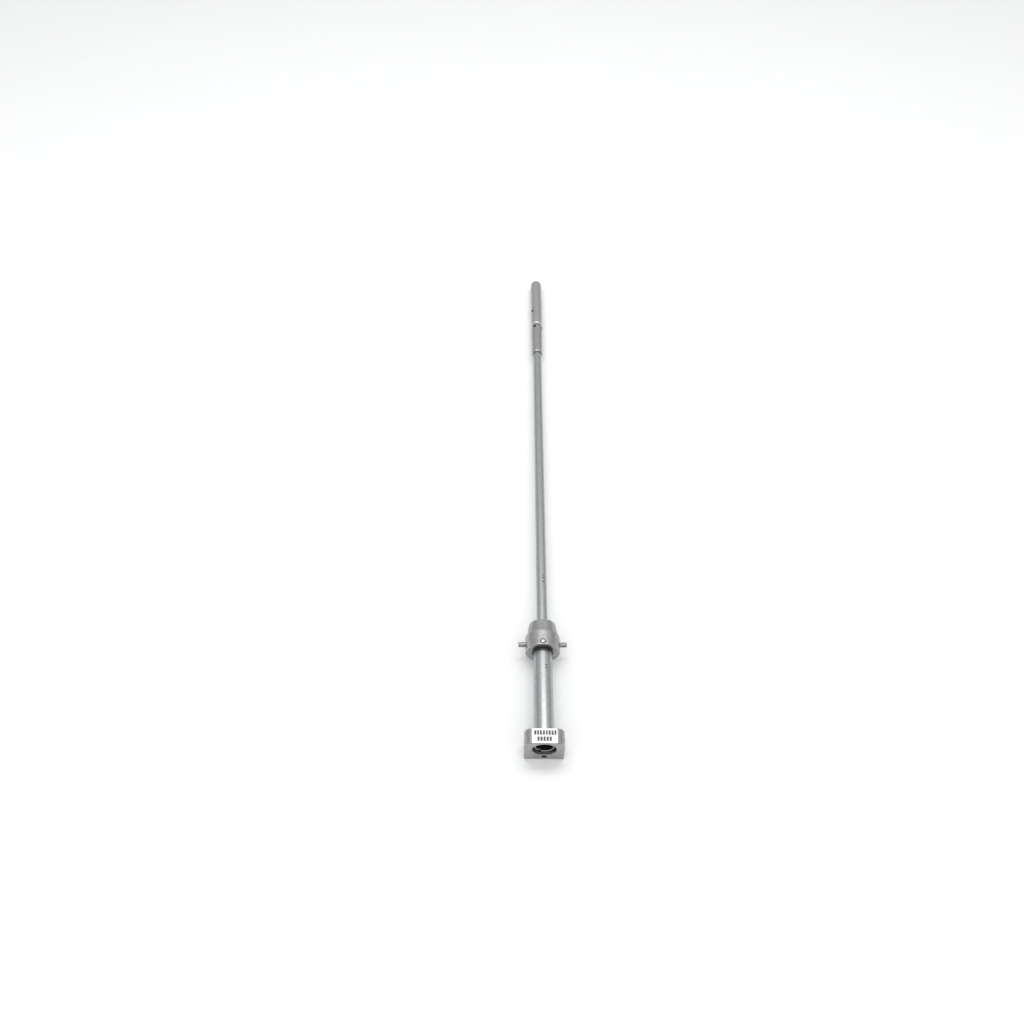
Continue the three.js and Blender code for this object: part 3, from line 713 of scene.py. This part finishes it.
# ------------------------------------------------------------------------- tip
nose = []
L = 3.3
TIP_R, TIP_TOP = 3.22, 300.6
for i in range(1, 16):
    a = math.pi / 2 * i / 16
    nose.append((TIP_R * math.cos(a), TIP_TOP - L + L * math.sin(a)))
tip = lathe("swivel_tip_body", [
    (0, 244.4), (2.2, 244.4, 0.08), (2.45, 244.65, 0.08), (2.45, 246.2, 0.05), (1.95, 246.2, 0.05), (1.95, 247.3, 0.05), (2.45, 247.3, 0.05),
    (2.45, DOG_Y - 0.97, 0.05), (1.95, DOG_Y - 0.97, 0.05), (1.95, DOG_Y + 0.97, 0.05), (2.45, DOG_Y + 0.97, 0.05), (2.45, 255.4), (2.72, 255.4, 0.05), (3.2, 256.25, 0.08), (TIP_R, 256.7),
    (TIP_R, TIP_TOP - L)] + nose + [(0, TIP_TOP)], 128, 1.6)
cut(tip, [hole(1.0, TIP_R - 1.3, TIP_R + 1, 268.8, -54, flare=0.06, seg=40, surface=TIP_R)])
# the tip's chamfer ring takes a lighter steel, a painted highlight; its spanner hole is painted near black, painted
# shade in the hole
put(tip, tip_satin, "tip", "satin_steel", "swivel_tip",
    second=[(chamfer_painted_highlight, lambda c, n: 255.42 < c.y < 256.3 and math.hypot(c.x, c.z - AXIS_Z) > 2.73),
            (dark_marks_and_painted_shade, lambda c, n: abs(c.y - 268.8) < 1.02 and c.x < -1.2 and c.z > AXIS_Z and math.hypot(c.x, c.z - AXIS_Z) < TIP_R - 0.15)])
toring = [(2.2 + 0.24 * math.cos(a), 246.75 + 0.384 * math.sin(a)) for a in [2 * math.pi * i / 16 for i in range(16)]]
put(lathe("tip_o_ring_body", toring, 72, 5), seal, "tip", "seal_rubber", "tip_o_ring")

# ------------------------------------------------------- floor, camera, lights
# The object lies on its base's rear edge and the underside of its tip.
tau = math.atan((AXIS_Z - TIP_R) / (TIP_TOP - L - B))
psi = rad(0.57)
R_, F_, U_ = Vector((1, 0, 0)), Vector((0, 1, 0)), Vector((0, 0, 1))
yo = math.cos(tau) * (math.sin(psi) * R_ + math.cos(psi) * F_) - math.sin(tau) * U_
xo = math.cos(psi) * R_ - math.sin(psi) * F_
zo = xo.cross(yo)
O = Vector((11.90, 117.70, B * math.sin(tau)))


def to_object(p):
    d = Vector(p) - O
    return Vector((d.dot(xo), d.dot(yo), d.dot(zo))) * MM


def turn(v):
    return Vector((v.dot(xo), v.dot(yo), v.dot(zo)))


pitch = rad(49.968)
cam_data = bpy.data.cameras.new("camera")
cam_data.sensor_width = 36.0
cam_data.lens = 36.0 * 772.43 / 1024
cam_data.clip_start = 0.01
cam_data.clip_end = 20
cam = bpy.data.objects.new("camera", cam_data)
bpy.context.scene.collection.objects.link(cam)
fwd = turn(math.cos(pitch) * F_ - math.sin(pitch) * U_)
right = turn(R_)
up = right.cross(fwd)
loc = to_object((0, 0, 280))
cam.matrix_world = Matrix((
    (right.x, up.x, -fwd.x, loc.x),
    (right.y, up.y, -fwd.y, loc.y),
    (right.z, up.z, -fwd.z, loc.z),
    (0, 0, 0, 1)))
bpy.context.scene.camera = cam

floor_n = turn(U_)
floor_q = floor_n.to_track_quat("Z", "Y")
fm = bpy.data.meshes.new("floor")
S = 4.0
fm.from_pydata([(-S, -S, 0), (S, -S, 0), (S, S, 0), (-S, S, 0)], [], [(0, 1, 2, 3)])
floor = bpy.data.objects.new("floor", fm)
bpy.context.scene.collection.objects.link(floor)
floor.rotation_mode = "QUATERNION"
floor.rotation_quaternion = floor_q
floor.location = to_object((O.x, O.y, 0)) - floor_n * 0.00001
FM = Mat("floor_paper")
FM.b.inputs["Roughness"].default_value = 0.75
FM.b.inputs["Specular IOR Level"].default_value = 0.2
fcol = FM.mix(FM.remap(FM.noise(0.012, 3), 0.3, 0.7), (0.925, 0.925, 0.92), (0.935, 0.935, 0.93))
FM.link(fcol, FM.b.inputs["Base Color"])
fm.materials.append(FM.m)


def area(name, table_pos, table_target, sx, sy, power, color=(1, 1, 1)):
    d = bpy.data.lights.new(name, "AREA")
    d.shape = "RECTANGLE"
    d.size, d.size_y = sx, sy
    d.energy = power
    d.color = color
    o = bpy.data.objects.new(name, d)
    bpy.context.scene.collection.objects.link(o)
    p, t = to_object(table_pos), to_object(table_target)
    o.location = p
    o.rotation_mode = "QUATERNION"
    o.rotation_quaternion = (t - p).to_track_quat("-Z", "Y")
    return o


area("softbox", (20, 500, 1000), (20, 240, 0), 0.95, 0.24, 3.5)
area("front_fill", (0, -330, 900), (0, 220, 0), 1.3, 0.9, 1.7)

# a pale studio that darkens towards the horizon
world = bpy.data.worlds.new("studio")
bpy.context.scene.world = world
world.use_nodes = True
wt = world.node_tree
bg = wt.nodes["Background"]
bg.inputs["Color"].default_value = (0.98, 0.99, 1.0, 1)
direction = wt.nodes.new("ShaderNodeTexCoord")
height = wt.nodes.new("ShaderNodeSeparateXYZ")
wt.links.new(direction.outputs["Generated"], height.inputs[0])
fade = wt.nodes.new("ShaderNodeMapRange")
fade.interpolation_type = "SMOOTHSTEP"
for k, v in zip(("From Min", "From Max", "To Min", "To Max"), (0.0, 0.42, 0.24, 0.83)):
    fade.inputs[k].default_value = v
wt.links.new(height.outputs[2], fade.inputs["Value"])
wt.links.new(fade.outputs["Result"], bg.inputs["Strength"])
bpy.context.scene.view_settings.view_transform = "Standard"
bpy.context.scene.view_settings.look = "None"
